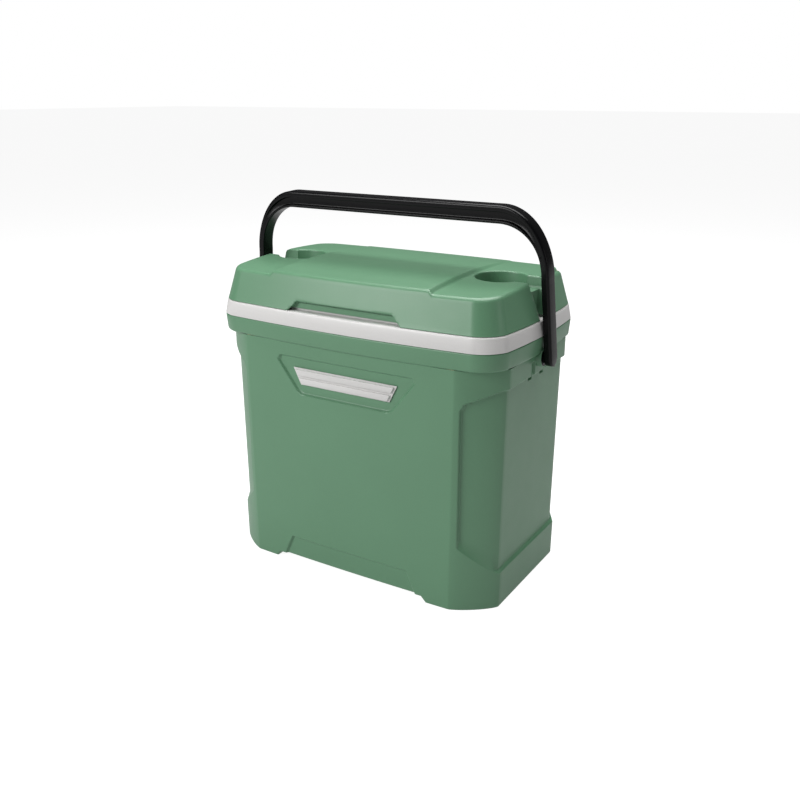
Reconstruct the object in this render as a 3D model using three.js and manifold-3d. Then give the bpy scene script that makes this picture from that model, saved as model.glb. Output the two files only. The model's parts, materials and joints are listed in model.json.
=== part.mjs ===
// Insulated picnic cooler chest with a swing-up carrying handle and a hinged lid.
// Millimetres. +Z is up, the front faces -Y and the width lies along X.
// The origin is on the ground, under the middle of the chest.

import * as THREE from 'three';
import { mergeVertices } from 'three/addons/utils/BufferGeometryUtils.js';
import Module from 'manifold-3d';

const wasm = await Module();
wasm.setup();

// ---- driving dimensions -------------------------------------------------------

const GAP = 0.3; // left between pieces that touch
const WALL = 3; // moulded plastic wall
const FAR = 400; // longer than any cut has to be

const BODY_HALF_X = 223;
const BODY_HALF_Y = 135.2;
const BODY_TOP = 339.3; // where the rim starts to overhang
const RIM_HALF_X = 230;
const RIM_HALF_Y = 142;
const RIM_TOP = 363.7;
const BAND_TOP = 384;
const BAND_LEAN = 3.2; // how far the white band leans in over its height
const BODY_DRAFT = 3.5; // how far the ends lean in towards the ground
const EDGE_ROUND = 3; // round the bottom edges of the body and the rim

const LID_BOTTOM = BAND_TOP + GAP;
const LID_EDGE_TOP = 430;
const LID_LEAN = 12;
const CROWN_TOP = 439.2; // middle of the raised centre of the lid
const CROWN_EDGE = 433.4;
const CROWN_HALF_Y = 116;
const LOW_END_X = 125; // the raised centre ends here, and the lower ends begin
const LOW_END_TOP = 434.5; // the lower ends rise towards the back and sag to both sides
const LOW_END_SLOPE = 0.0178;
const LOW_END_SAG = 0.000294;

const CUP_X = 163.5; // can holders moulded into the ends of the lid
const CUP_RADIUS = 35;
const CUP_FLOOR = 399;
const NOTCH_MOUTH_HALF = 22; // half width of the notch from each can holder to the outside
const NOTCH_FOOT_HALF = 9;
const NOTCH_MOUTH_FLOOR = 419;
const NOTCH_TOP = 436;
const NOTCH_INNER_X = 209;

const TUB_HALF_X = 199;
const TUB_HALF_Y = 109;
const TUB_FLOOR = 47;
const TUB_DRAFT = 5;

const FOOT_GAP_HALF = 132; // the arch between the feet, front and back
const FOOT_GAP_SLOPE = 8;
const FOOT_GAP_HEIGHT = 8;
const PANEL_DEPTH = 4.5; // sunk panels on the corners and sides
const FACE_RECESS_DEPTH = 3.5;

const PIVOT_Z = 334; // handle pivots
const HANDLE_LEAN = 2.5; // degrees, towards the front
const GRIP_RADIUS = 183; // pivot to the middle of the grip
const GRIP_HEIGHT = 23;
const ARM_THICKNESS = 10.5;
const HANDLE_WIDTH = 22.5;
const PEG_RADIUS = 8;
const PEG_CLEARANCE = 0.06;
const SOCKET_RADIUS = 12;

const HINGE_X = 95;
const HINGE_LENGTH = 50;
const HINGE_AXIS_Y = 144.5;
const HINGE_AXIS_Z = 385;
const KNUCKLE_RADIUS = 4.5;
const HINGE_PIN_RADIUS = 1.9;
const EYE_SIDES = 16;
const LEAF = 2.5;
const SCREW_SPACING = 26;
const SCREW_HOLE_RADIUS = 2.1;

const BADGE_Z = 293;
const BADGE_HALF_HEIGHT = 12;
const BADGE_FOOT_HALF = 72; // half width of the badge at its lower edge
const BADGE_SLANT = 0.5; // how fast its ends spread with height
const BADGE_BAR_HALF = 4;
const BADGE_BAR_STEP = 5.8; // from the middle of the badge to the middle of each bar

// ---- finishes -----------------------------------------------------------------

function finish(colour, roughness, metalness = 0) {
  return new THREE.MeshStandardMaterial({ color: colour, roughness, metalness });
}

const GREEN = [0x6f9379, 0.5];
const BONE = [0xdfdedb, 0.45];
const BLACK = [0x17171a, 0.3];
const FOAM = [0xe9dfb4, 0.9];
const STEEL = [0xb4b6ba, 0.35, 0.9];

const group = new THREE.Group();

// ---- solids and booleans --------------------------------------------------------

// A closed solid from a geometry, with its shared corners merged.
function solid(geometry) {
  const plain = new THREE.BufferGeometry();
  plain.setAttribute('position', geometry.getAttribute('position').clone());
  if (geometry.index) plain.setIndex(geometry.index.clone());
  const merged = mergeVertices(plain, 1e-4);
  const mesh = new wasm.Mesh({
    numProp: 3,
    vertProperties: Float32Array.from(merged.getAttribute('position').array),
    triVerts: Uint32Array.from(merged.index.array),
  });
  return new wasm.Manifold(mesh);
}

function join(...solids) {
  return solids.reduce((whole, next) => whole.add(next));
}

function cut(whole, ...tools) {
  return tools.reduce((left, tool) => left.subtract(tool), whole);
}

// Adds a solid to the object as a named piece.
function addPiece(name, shape, look) {
  const { vertProperties, triVerts } = shape.getMesh();
  const geometry = new THREE.BufferGeometry();
  geometry.setAttribute('position', new THREE.BufferAttribute(vertProperties, 3));
  geometry.setIndex(new THREE.BufferAttribute(triVerts, 1));
  const piece = new THREE.Mesh(geometry, finish(...look));
  piece.name = name;
  group.add(piece);
  return piece;
}

function box(x0, x1, y0, y1, z0, z1) {
  const geometry = new THREE.BoxGeometry(x1 - x0, y1 - y0, z1 - z0);
  geometry.translate((x0 + x1) / 2, (y0 + y1) / 2, (z0 + z1) / 2);
  return solid(geometry);
}

// A cylinder along 'x', 'y' or 'z' from start to end, through the point (a, b) across it.
function cylinder(axis, radius, start, end, a, b, sides = 24) {
  const geometry = new THREE.CylinderGeometry(radius, radius, end - start, sides);
  const middle = (start + end) / 2;
  if (axis === 'x') geometry.rotateZ(-Math.PI / 2).translate(middle, a, b);
  if (axis === 'y') geometry.translate(a, middle, b);
  if (axis === 'z') geometry.rotateX(Math.PI / 2).translate(a, b, middle);
  return solid(geometry);
}

function extrude(points, depth) {
  const outline = new THREE.Shape(points.map(([a, b]) => new THREE.Vector2(a, b)));
  return new THREE.ExtrudeGeometry(outline, { depth, bevelEnabled: false });
}

// An outline of [x, z] points, extruded along Y.
function prismY(points, y0, y1) {
  const geometry = extrude(points, y1 - y0);
  geometry.rotateX(Math.PI / 2).translate(0, y1, 0);
  return solid(geometry);
}

// An outline of [y, z] points, extruded along X.
function prismX(points, x0, x1) {
  const geometry = extrude(points, x1 - x0);
  const turn = new THREE.Matrix4().makeBasis(
    new THREE.Vector3(0, 1, 0),
    new THREE.Vector3(0, 0, 1),
    new THREE.Vector3(1, 0, 0),
  );
  geometry.applyMatrix4(turn).translate(x0, 0, 0);
  return solid(geometry);
}

// ---- outlines of the chest ------------------------------------------------------

// An outline is given by its half sizes, how far its sides bow out, and the size and
// fullness of its corners: fullness 2 is round, and near 1 is a soft chamfer.
const BODY_OUTLINE = { bowX: 0, bowY: 0, cornerX: 57, cornerY: 45, fullness: 1.25 };
const RIM_OUTLINE = { bowX: 5, bowY: 8, cornerX: 44, cornerY: 46, fullness: 1.75 };
const TUB_OUTLINE = { bowX: 2, bowY: 3, cornerX: 34, cornerY: 34, fullness: 2 };

const SIDE_STEPS = 2;
const CORNER_STEPS = 5;

// One quarter of an outline, from the middle of the side at +X to the middle of +Y.
function quarter(outline, halfX, halfY, inset) {
  const hx = halfX - inset;
  const hy = halfY - inset;
  const cx = Math.max(outline.cornerX - 0.55 * inset, 6);
  const cy = Math.max(outline.cornerY - 0.55 * inset, 6);
  const points = [];
  for (let i = 0; i < SIDE_STEPS; i += 1) {
    const t = i / SIDE_STEPS;
    points.push([hx - outline.bowX * t * t, (hy - cy) * t]);
  }
  for (let i = 0; i <= CORNER_STEPS; i += 1) {
    const turn = (Math.PI / 2) * (i / CORNER_STEPS);
    const power = 2 / outline.fullness;
    const along = Math.sin(turn) ** power;
    const across = Math.cos(turn) ** power;
    const startX = hx - outline.bowX;
    const endY = hy - outline.bowY;
    points.push([hx - cx + (startX - hx + cx) * across, hy - cy + (endY - hy + cy) * along]);
  }
  for (let i = 1; i < SIDE_STEPS; i += 1) {
    const t = 1 - i / SIDE_STEPS;
    points.push([(hx - cx) * t, hy - outline.bowY * t * t]);
  }
  return points;
}

// A whole outline at one height, anticlockwise from +X.
function ring(outline, halfX, halfY, inset, z) {
  const q = quarter(outline, halfX, halfY, inset);
  const middleY = [0, halfY - inset];
  const back = q.slice(1).reverse().map(([x, y]) => [-x, y]);
  const upper = [...q, middleY, ...back];
  const lower = upper.map(([x, y]) => [-x, -y]);
  return [...upper, ...lower].map(([x, y]) => new THREE.Vector3(x, y, z));
}

// A solid through a stack of outlines, closed with flat ends.
function loft(rings) {
  const count = rings[0].length;
  const points = rings.flat();
  const bottom = points.push(new THREE.Vector3(0, 0, rings[0][0].z)) - 1;
  const top = points.push(new THREE.Vector3(0, 0, rings[rings.length - 1][0].z)) - 1;
  const faces = [];
  const last = (rings.length - 1) * count;
  for (let i = 0; i < count; i += 1) {
    const next = (i + 1) % count;
    faces.push(bottom, next, i);
    faces.push(top, last + i, last + next);
    for (let level = 0; level < last; level += count) {
      faces.push(level + i, level + next, level + count + next);
      faces.push(level + i, level + count + next, level + count + i);
    }
  }
  const geometry = new THREE.BufferGeometry().setFromPoints(points);
  geometry.setIndex(faces);
  return solid(geometry);
}

function bothSides(makeSolid) {
  return join(makeSolid(-1), makeSolid(1));
}

// Two distances from the middle plane, as a low and a high X on the given side of it.
function spanX(side, near, far) {
  return side > 0 ? [near, far] : [-far, -near];
}

// Points of an outline mirrored in X, turned round again so that it stays anticlockwise.
function mirrored(points, side) {
  return side > 0 ? points : points.map(([x, z]) => [-x, z]).reverse();
}

// ---- outer shell ----------------------------------------------------------------

// The chest's outside below the rim, all of it moved in by inset.
function bodyLoft(inset, floor) {
  const level = (halfX, halfY, z) => ring(BODY_OUTLINE, halfX, halfY, inset, z);
  return loft([
    level(BODY_HALF_X - BODY_DRAFT - 2, BODY_HALF_Y - 1.2, floor),
    level(BODY_HALF_X - BODY_DRAFT, BODY_HALF_Y + 0.4, floor + EDGE_ROUND),
    level(BODY_HALF_X, BODY_HALF_Y, BODY_TOP - 27),
    level(BODY_HALF_X, BODY_HALF_Y - 0.4, BODY_TOP + (inset > 0 ? FAR : 1)),
  ]);
}

function rimLoft(inset, z0, z1) {
  const level = (lean, z) => ring(RIM_OUTLINE, RIM_HALF_X, RIM_HALF_Y, inset + lean, z);
  return loft([level(3, z0), level(1.6, z0 + EDGE_ROUND), level(0, z1)]);
}

const CORNER_PANEL = [
  [173, 92], [216, 53], [FAR, 54], [FAR, 314], [216, 313], [177, 297], [173, 290],
];
const FOOT_PANEL = [[-113, 3], [113, 3], [113, 8], [99, 42], [-99, 42], [-113, 8]];
const BADGE_PANEL = [
  [-73, 266], [73, 266], [79, 269.5], [111.5, 315],
  [108, 320.5], [-108, 320.5], [-111.5, 315], [-79, 269.5],
];

// An outline with every corner moved away from its middle, by the same amount both ways.
function grown(points, by) {
  const mean = (i) => points.reduce((sum, point) => sum + point[i], 0) / points.length;
  const away = (value, middle) => value + by * Math.sign(value - middle);
  const [midX, midZ] = [mean(0), mean(1)];
  return points.map(([x, z]) => [away(x, midX), away(z, midZ)]);
}

// Everything sunk into the outside of the body: corner panels, foot panels and badge panel.
function bodyRecesses(growth) {
  const skin = bodyLoft(PANEL_DEPTH + growth, -growth);
  const panel = grown(CORNER_PANEL, growth);
  const corners = bothSides((side) => prismY(mirrored(panel, side), -FAR, FAR));
  const faceY = BODY_HALF_Y - FACE_RECESS_DEPTH - growth;
  return join(
    cut(corners, skin),
    prismY(grown(FOOT_PANEL, growth), -FAR, -faceY),
    prismY(grown(FOOT_PANEL, growth), faceY, FAR),
    prismY(grown(BADGE_PANEL, growth), -FAR, -faceY),
  );
}

// The arch between the feet, open to the front and the back.
function archGap(growth) {
  const low = FOOT_GAP_HALF + growth;
  const high = low - FOOT_GAP_SLOPE;
  const top = FOOT_GAP_HEIGHT + growth;
  return prismY([[-low - 1, -5], [low + 1, -5], [high, top], [-high, top]], -FAR, FAR);
}

// The space inside the shell, which the foam fills when it is made a little smaller.
function shellSpace(shrink) {
  const below = bodyLoft(WALL + shrink, WALL + shrink);
  const inRim = rimLoft(WALL + shrink, BODY_TOP + WALL + shrink, RIM_TOP + 1 - shrink);
  const aboveRim = box(-FAR, FAR, -FAR, FAR, RIM_TOP - 2, FAR * 3);
  const lower = cut(below, bodyRecesses(WALL + shrink), archGap(WALL + shrink), aboveRim);
  return join(lower, inRim);
}

const BOSS_FACE = RIM_HALF_X + 0.5;
const BOSS_RADIUS = SOCKET_RADIUS + 1.5;

// A round bar along X at the height of the handle's pivots, on one side.
function sideCylinder(side, radius, inner, outer) {
  return cylinder('x', radius, ...spanX(side, inner, outer), 0, PIVOT_Z, 32);
}

const SOCKET_INNER = RIM_HALF_X - 23;

const hinges = [-1, 1].map((side) => ({ word: side < 0 ? 'left' : 'right', x: side * HINGE_X }));

// ---- hinges ---------------------------------------------------------------------

const LID_WALL_TILT = Math.atan2(LID_LEAN, LID_EDGE_TOP - LID_BOTTOM);
const BODY_LEAF_Y = 141.3;
const LID_LEAF_FOOT = new THREE.Vector2(137.2, 388);
const LID_LEAF_HEIGHT = 25;
const BODY_SCREW_Z = 357;

// Screw places: where the head seats, and which way the screw points outwards.
const screws = hinges.flatMap(({ word, x }) => [-1, 1].flatMap((side) => {
  const end = side < 0 ? 'outer_left' : 'outer_right';
  const across = x + (side * SCREW_SPACING) / 2;
  const up = LID_LEAF_HEIGHT * 0.6;
  const tilt = LID_WALL_TILT;
  const seatY = LID_LEAF_FOOT.x - up * Math.sin(tilt) + LEAF * Math.cos(tilt);
  const seatZ = LID_LEAF_FOOT.y + up * Math.cos(tilt) + LEAF * Math.sin(tilt);
  return [
    {
      name: `${word}_body_screw_${end}`,
      on: 'body',
      place: [across, BODY_LEAF_Y + LEAF, BODY_SCREW_Z],
      tilt: 0,
    },
    {
      name: `${word}_lid_screw_${end}`,
      on: 'lid',
      place: [across, seatY, seatZ],
      tilt,
    },
  ];
}));

const SCREW_LENGTH = 11;
const SCREW_SHANK = 1.7;

// A turned profile of [radius, height] points set along +Y, then tilted up and placed.
function turned(profile, place, tilt, sides = 10) {
  const geometry = new THREE.LatheGeometry(profile.map(([r, h]) => new THREE.Vector2(r, h)), sides);
  geometry.rotateX(tilt).translate(...place);
  return solid(geometry);
}

const SCREW_HEAD = 3.7;

function screwSolid({ place, tilt }) {
  const profile = [
    [0, -SCREW_LENGTH], [SCREW_SHANK, 1.5 - SCREW_LENGTH], [SCREW_SHANK, GAP],
    [SCREW_HEAD, GAP], [SCREW_HEAD - 0.2, 1.6], [0, 2.4],
  ];
  return turned(profile, place, tilt);
}

function screwHoles(on, radius) {
  const profile = [[0, -SCREW_LENGTH - 2], [radius, -SCREW_LENGTH - 2], [radius, 6], [0, 6]];
  return join(...screws.filter((s) => s.on === on).map((s) => turned(profile, s.place, s.tilt)));
}

// A round bar on the hinge axis, between two places along X.
function hingeBar(radius, x0, x1) {
  return cylinder('x', radius, x0, x1, HINGE_AXIS_Y, HINGE_AXIS_Z, EYE_SIDES);
}

// One round eye of a hinge with the web that carries it, between two places along X.
function knuckle(web, x0, x1) {
  return join(prismX(web, x0, x1), hingeBar(KNUCKLE_RADIUS, x0, x1));
}

function addHinges() {
  const half = HINGE_LENGTH / 2;
  const third = HINGE_LENGTH / 6;
  const y0 = BODY_LEAF_Y;
  const bodyWeb = [[y0, 370], [y0 + LEAF, 370], [149, 383], [149, 385], [140, 385], [y0, 378]];
  const foot = LID_LEAF_FOOT;
  const slope = new THREE.Vector2(-Math.sin(LID_WALL_TILT), Math.cos(LID_WALL_TILT));
  const out = new THREE.Vector2(slope.y, -slope.x);
  const tip = foot.clone().addScaledVector(slope, LID_LEAF_HEIGHT);
  const corners = [
    foot, foot.clone().addScaledVector(out, LEAF), tip.clone().addScaledVector(out, LEAF), tip,
  ];
  const lidWeb = [
    [foot.x, foot.y], [144, HINGE_AXIS_Z - 3], [148.5, 387], [foot.x + 1.5, foot.y + 8],
  ];
  const pinHoleRadius = (HINGE_PIN_RADIUS + 0.06) / Math.cos(Math.PI / EYE_SIDES);
  for (const { word, x } of hinges) {
    const pinHole = hingeBar(pinHoleRadius, x - half - 1, x + half + 1);
    const plate = box(x - half, x + half, y0, y0 + LEAF, 346, 376);
    const bodyLeaf = join(
      plate,
      knuckle(bodyWeb, x - half, x - third - GAP),
      knuckle(bodyWeb, x + third + GAP, x + half),
    );
    const bodyHoles = screwHoles('body', SCREW_HOLE_RADIUS);
    addPiece(`${word}_hinge_body_leaf`, cut(bodyLeaf, pinHole, bodyHoles), BLACK);
    const lidPlate = prismX(corners.map((p) => [p.x, p.y]), x - half, x + half);
    const lidLeaf = join(lidPlate, knuckle(lidWeb, x - third + GAP, x + third - GAP));
    const lidHoles = screwHoles('lid', SCREW_HOLE_RADIUS);
    addPiece(`${word}_hinge_lid_leaf`, cut(lidLeaf, pinHole, lidHoles), BLACK);
    addPiece(`${word}_hinge_pin`, hingeBar(HINGE_PIN_RADIUS, x - half + 1, x + half - 1), STEEL);
  }
  for (const screw of screws) addPiece(screw.name, screwSolid(screw), STEEL);
}

// ---- chest: shell, foam, liner and badge ------------------------------------------

function tubLoft(inset, floor, top) {
  const level = (lean, z) => ring(TUB_OUTLINE, TUB_HALF_X, TUB_HALF_Y, inset + lean, z);
  return loft([level(TUB_DRAFT + 3, floor), level(TUB_DRAFT, floor + 5), level(0, top)]);
}

function bandLoft(inset, z0, z1) {
  const level = (z) => {
    const lean = (BAND_LEAN * (z - RIM_TOP)) / (BAND_TOP - RIM_TOP);
    return ring(RIM_OUTLINE, RIM_HALF_X, RIM_HALF_Y, inset + lean, z);
  };
  return loft([level(z0), level(z1)]);
}

function addChest() {
  const outside = join(
    bodyLoft(0, 0),
    rimLoft(0, BODY_TOP, RIM_TOP),
    bothSides((side) => sideCylinder(side, BOSS_RADIUS, 200, BOSS_FACE)),
  );
  const socketHole = (radius, inner) => bothSides((side) => sideCylinder(side, radius, inner, FAR));
  const topOpening = box(-190, 190, -100, 100, RIM_TOP - 10, FAR);
  const shell = cut(
    cut(outside, bodyRecesses(0), archGap(0)),
    join(shellSpace(0), topOpening),
    socketHole(SOCKET_RADIUS + GAP, 150),
    screwHoles('body', SCREW_HOLE_RADIUS),
  );
  addPiece('outer_shell', shell, GREEN);

  const tubOutside = tubLoft(-WALL, TUB_FLOOR - WALL, BAND_TOP);
  const band = bandLoft(0, RIM_TOP + GAP, BAND_TOP);
  const underFlange = cut(bandLoft(WALL, RIM_TOP - 1, BAND_TOP - WALL), tubOutside);
  const tubInside = tubLoft(0, TUB_FLOOR, BAND_TOP + 0.01);
  addPiece('inner_liner', cut(join(cut(band, underFlange), tubOutside), tubInside), BONE);

  const underLiner = bandLoft(WALL + GAP, RIM_TOP, BAND_TOP - WALL - GAP);
  const foamOutside = join(shellSpace(GAP), underLiner);
  const foam = cut(
    foamOutside,
    tubLoft(-WALL - GAP, TUB_FLOOR - WALL - GAP, BAND_TOP + 1),
    socketHole(SOCKET_RADIUS + 2 * GAP, SOCKET_INNER - GAP),
    screwHoles('body', SCREW_HOLE_RADIUS + GAP),
  );
  addPiece('body_foam', foam, FOAM);
  addBadge();
}

// A generic badge: a carrier strip with two long plain bars, all with slanted ends.
function addBadge() {
  const seat = -(BODY_HALF_Y - FACE_RECESS_DEPTH) - GAP;
  const carrierFront = seat - 1.2;
  const badgeFront = seat - 4.2;
  const footZ = BADGE_Z - BADGE_HALF_HEIGHT;
  const slanted = (z0, z1, margin) => {
    const half = (z) => BADGE_FOOT_HALF + BADGE_SLANT * (z - footZ) - margin;
    return [[-half(z0), z0], [half(z0), z0], [half(z1), z1], [-half(z1), z1]];
  };
  const strip = prismY(slanted(footZ, BADGE_Z + BADGE_HALF_HEIGHT, 0), carrierFront, seat);
  const bar = (side) => {
    const z = BADGE_Z + side * BADGE_BAR_STEP;
    const outline = slanted(z - BADGE_BAR_HALF, z + BADGE_BAR_HALF, 3);
    return prismY(outline, badgeFront, carrierFront + 0.2);
  };
  addPiece('front_badge', join(strip, bothSides(bar)), BONE);
}

// ---- lid ------------------------------------------------------------------------

function lidLoft(inset, z0) {
  const top = FAR + 60;
  const level = (z, extra = 0) => {
    const lean = BAND_LEAN + 1 + (LID_LEAN * (z - LID_BOTTOM)) / (LID_EDGE_TOP - LID_BOTTOM);
    return ring(RIM_OUTLINE, RIM_HALF_X, RIM_HALF_Y, inset + lean + extra, z);
  };
  return loft([level(z0), level(top)]);
}

// Everything above the top of the lid. The raised centre is an arch across Y, and the
// lower ends are flatter and rise towards the back.
function aboveLid(drop) {
  const rows = 8;
  const reach = 150;
  const centre = [];
  const ends = [];
  for (let i = 0; i <= rows; i += 1) {
    const y = reach - (2 * reach * i) / rows;
    const share = (y / CROWN_HALF_Y) ** 2;
    centre.push([y, CROWN_TOP - (CROWN_TOP - CROWN_EDGE) * share - drop]);
    ends.push([y, LOW_END_TOP + LOW_END_SLOPE * y - LOW_END_SAG * y * y - drop]);
  }
  const sky = [[-reach, 600], [reach, 600]];
  const overCentre = prismX([...sky, ...centre], -FAR, FAR);
  const overEnd = (side) => prismX([...sky, ...ends], ...spanX(side, LOW_END_X - drop, FAR));
  return join(overCentre, bothSides(overEnd));
}

// The notch in each end of the lid, which runs from the can holder to the outside.
function endNotch(side, growth) {
  const wide = NOTCH_MOUTH_HALF + growth;
  const narrow = NOTCH_FOOT_HALF + growth;
  const floor = NOTCH_MOUTH_FLOOR - growth;
  const foot = LID_BOTTOM - 5;
  const slot = [
    [narrow, foot], [wide, NOTCH_TOP], [wide, FAR + 100],
    [-wide, FAR + 100], [-wide, NOTCH_TOP], [-narrow, foot],
  ];
  const mouth = [[wide, floor], [wide, FAR + 100], [-wide, FAR + 100], [-wide, floor]];
  return join(
    prismX(slot, ...spanX(side, NOTCH_INNER_X - growth, FAR)),
    prismX(mouth, ...spanX(side, CUP_X + 18, FAR)),
  );
}

const GRIP_RECESS = [
  [-94, LID_BOTTOM - 4], [94, LID_BOTTOM - 4], [79, 394], [74, 398], [-74, 398], [-79, 394],
];
const GRIP_RECESS_Y = 127;

function lidCuts(growth) {
  const cup = (side) => cylinder('z', CUP_RADIUS + growth, CUP_FLOOR - growth, 500, side * CUP_X, 0, 30);
  return join(
    bothSides(cup),
    bothSides((side) => endNotch(side, growth)),
    prismY(grown(GRIP_RECESS, growth), -FAR, -GRIP_RECESS_Y + growth),
  );
}

const PLUG_DEPTH = 14;
const PLUG_INSET = 4;

function addLid() {
  const skin = cut(lidLoft(0, LID_BOTTOM), aboveLid(0), lidCuts(0));
  const space = cut(lidLoft(WALL, LID_BOTTOM - 1), aboveLid(WALL), lidCuts(WALL));
  addPiece('lid_shell', cut(skin, space, screwHoles('lid', SCREW_HOLE_RADIUS)), GREEN);

  const panelTop = LID_BOTTOM + WALL;
  const tray = cut(
    lidLoft(WALL + GAP, LID_BOTTOM),
    box(-FAR, FAR, -FAR, FAR, panelTop, FAR * 2),
    lidCuts(WALL + GAP),
  );
  const plug = (inset, z0, z1) => loft([
    ring(TUB_OUTLINE, TUB_HALF_X, TUB_HALF_Y, PLUG_INSET + inset + 3, z0),
    ring(TUB_OUTLINE, TUB_HALF_X, TUB_HALF_Y, PLUG_INSET + inset, z1),
  ]);
  const plugBottom = LID_BOTTOM - PLUG_DEPTH;
  const panel = cut(
    join(tray, plug(0, plugBottom, panelTop)),
    plug(WALL, plugBottom + WALL, panelTop + 0.01),
  );
  addPiece('lid_panel', panel, BONE);

  const foamTop = cut(
    lidLoft(WALL + GAP, panelTop + GAP),
    aboveLid(WALL + GAP),
    lidCuts(WALL + GAP),
    screwHoles('lid', SCREW_HOLE_RADIUS + GAP),
  );
  const foamPlug = plug(WALL + GAP, plugBottom + WALL + GAP, panelTop + 2 * GAP);
  addPiece('lid_foam', join(foamTop, foamPlug), FOAM);
}

// ---- handle ---------------------------------------------------------------------

const ARM_TOP = 103; // height of the straight arms above the pivots
const BEND_X = 164.5; // where the grip ends and its bends begin
const BEND_WIDTH = 66.5;
const ARM_SPLAY = 8; // how much further out the arms stand at the pivots
const BEND_STEPS = 9;

// Distance of an arm's centre line from the middle plane, at a height above the pivots.
function armX(z) {
  return BEND_X + BEND_WIDTH + ARM_SPLAY * Math.min(1 - z / ARM_TOP, 1);
}

// Half of the handle's centre line, from the rounded end of one arm up to the middle of
// the grip: [x, height above the pivot, thickness in the handle's plane, width].
function handleSpine() {
  const rows = [];
  const endRadius = HANDLE_WIDTH / 2;
  for (const share of [-0.97, -0.8, -0.45, 0, 0.8, 3, 6]) {
    const z = share * endRadius;
    const width = share < 0 ? HANDLE_WIDTH * Math.sqrt(1 - share * share) : HANDLE_WIDTH;
    rows.push([armX(z), z, ARM_THICKNESS, width]);
  }
  for (let i = 0; i <= BEND_STEPS; i += 1) {
    const share = i / BEND_STEPS;
    const turn = (Math.PI / 2) * share;
    const growth = Math.max(share - 0.2, 0) / 0.8;
    const ease = growth * growth * (3 - 2 * growth);
    const thickness = ARM_THICKNESS + (GRIP_HEIGHT - ARM_THICKNESS) * ease;
    const x = BEND_X + BEND_WIDTH * Math.cos(turn);
    const z = ARM_TOP + (GRIP_RADIUS - ARM_TOP) * Math.sin(turn);
    rows.push([x, z, thickness, HANDLE_WIDTH]);
  }
  rows.push([0, GRIP_RADIUS, GRIP_HEIGHT, HANDLE_WIDTH]);
  return rows;
}

// The handle's section: p runs across the thickness, +1 outside, and q across the width.
// The channel moulded into both broad sides is deepest on the grip and fades on the arms.
function handleSection(channel) {
  const half = [
    [1, 0.55], [0.88, 0.88], [0.62, 1], [0.3, 1], [0.24, 1 - channel],
    [-0.64, 1 - channel], [-0.7, 1], [-0.88, 0.96], [-1, 0.75],
  ];
  const other = half.map(([p, q]) => [p, -q]).reverse();
  return [...half, ...other];
}

function addHandle() {
  const right = handleSpine();
  const left = right.slice(0, -1).map(([x, ...rest]) => [-x, ...rest]);
  const rows = [...left, right[right.length - 1], ...right.slice(0, -1).reverse()];
  const points = [];
  rows.forEach(([x, z, thickness, width], i) => {
    const before = rows[Math.max(i - 1, 0)];
    const after = rows[Math.min(i + 1, rows.length - 1)];
    const along = new THREE.Vector2(after[0] - before[0], after[1] - before[1]).normalize();
    const outward = new THREE.Vector2(-along.y, along.x);
    const fade = (thickness - ARM_THICKNESS) / (GRIP_HEIGHT - ARM_THICKNESS);
    for (const [p, q] of handleSection(0.62 * fade)) {
      points.push(new THREE.Vector3(
        x + (outward.x * p * thickness) / 2,
        (q * width) / 2,
        z + (outward.y * p * thickness) / 2,
      ));
    }
  });
  const count = handleSection(0).length;
  const faces = [];
  for (let row = 0; row + 1 < rows.length; row += 1) {
    for (let i = 0; i < count; i += 1) {
      const a = row * count + i;
      const b = row * count + ((i + 1) % count);
      faces.push(a, b + count, b, a, a + count, b + count);
    }
  }
  for (let i = 1; i + 1 < count; i += 1) {
    const end = (rows.length - 1) * count;
    faces.push(0, i, i + 1, end, end + i + 1, end + i);
  }
  const geometry = new THREE.BufferGeometry().setFromPoints(points);
  geometry.setIndex(faces);
  const pegSpan = (side) => spanX(side, SOCKET_INNER + WALL, RIM_HALF_X + 6);
  const peg = (side) => cylinder('x', PEG_RADIUS, ...pegSpan(side), 0, 0, 32);
  const handle = addPiece('handle', join(solid(geometry), bothSides(peg)), BLACK);
  handle.position.z = PIVOT_Z;
  handle.rotation.x = THREE.MathUtils.degToRad(HANDLE_LEAN);

  const bore = (PEG_RADIUS + PEG_CLEARANCE) / Math.cos(Math.PI / 32);
  for (const side of [-1, 1]) {
    const socket = cut(
      sideCylinder(side, SOCKET_RADIUS, SOCKET_INNER, BOSS_FACE),
      sideCylinder(side, bore, SOCKET_INNER + WALL - 0.5, FAR),
    );
    addPiece(side < 0 ? 'left_pivot_socket' : 'right_pivot_socket', socket, BLACK);
  }
}

addChest();
addLid();
addHinges();
addHandle();

export default group;
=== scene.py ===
"""Looks of a moulded picnic cooler chest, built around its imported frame.

The chest has a green outer shell on moulded feet, a white liner whose flange shows as a
band round the rim, a green lid with a can holder in each end, a black swing-up handle and
two black hinges at the back. Shapes are worked out in millimetres and put into the meshes
in metres. The front faces -Y, the width lies along X and +Z is up.
"""

import json
import logging
import math
from dataclasses import dataclass, field
from enum import Enum

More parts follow.
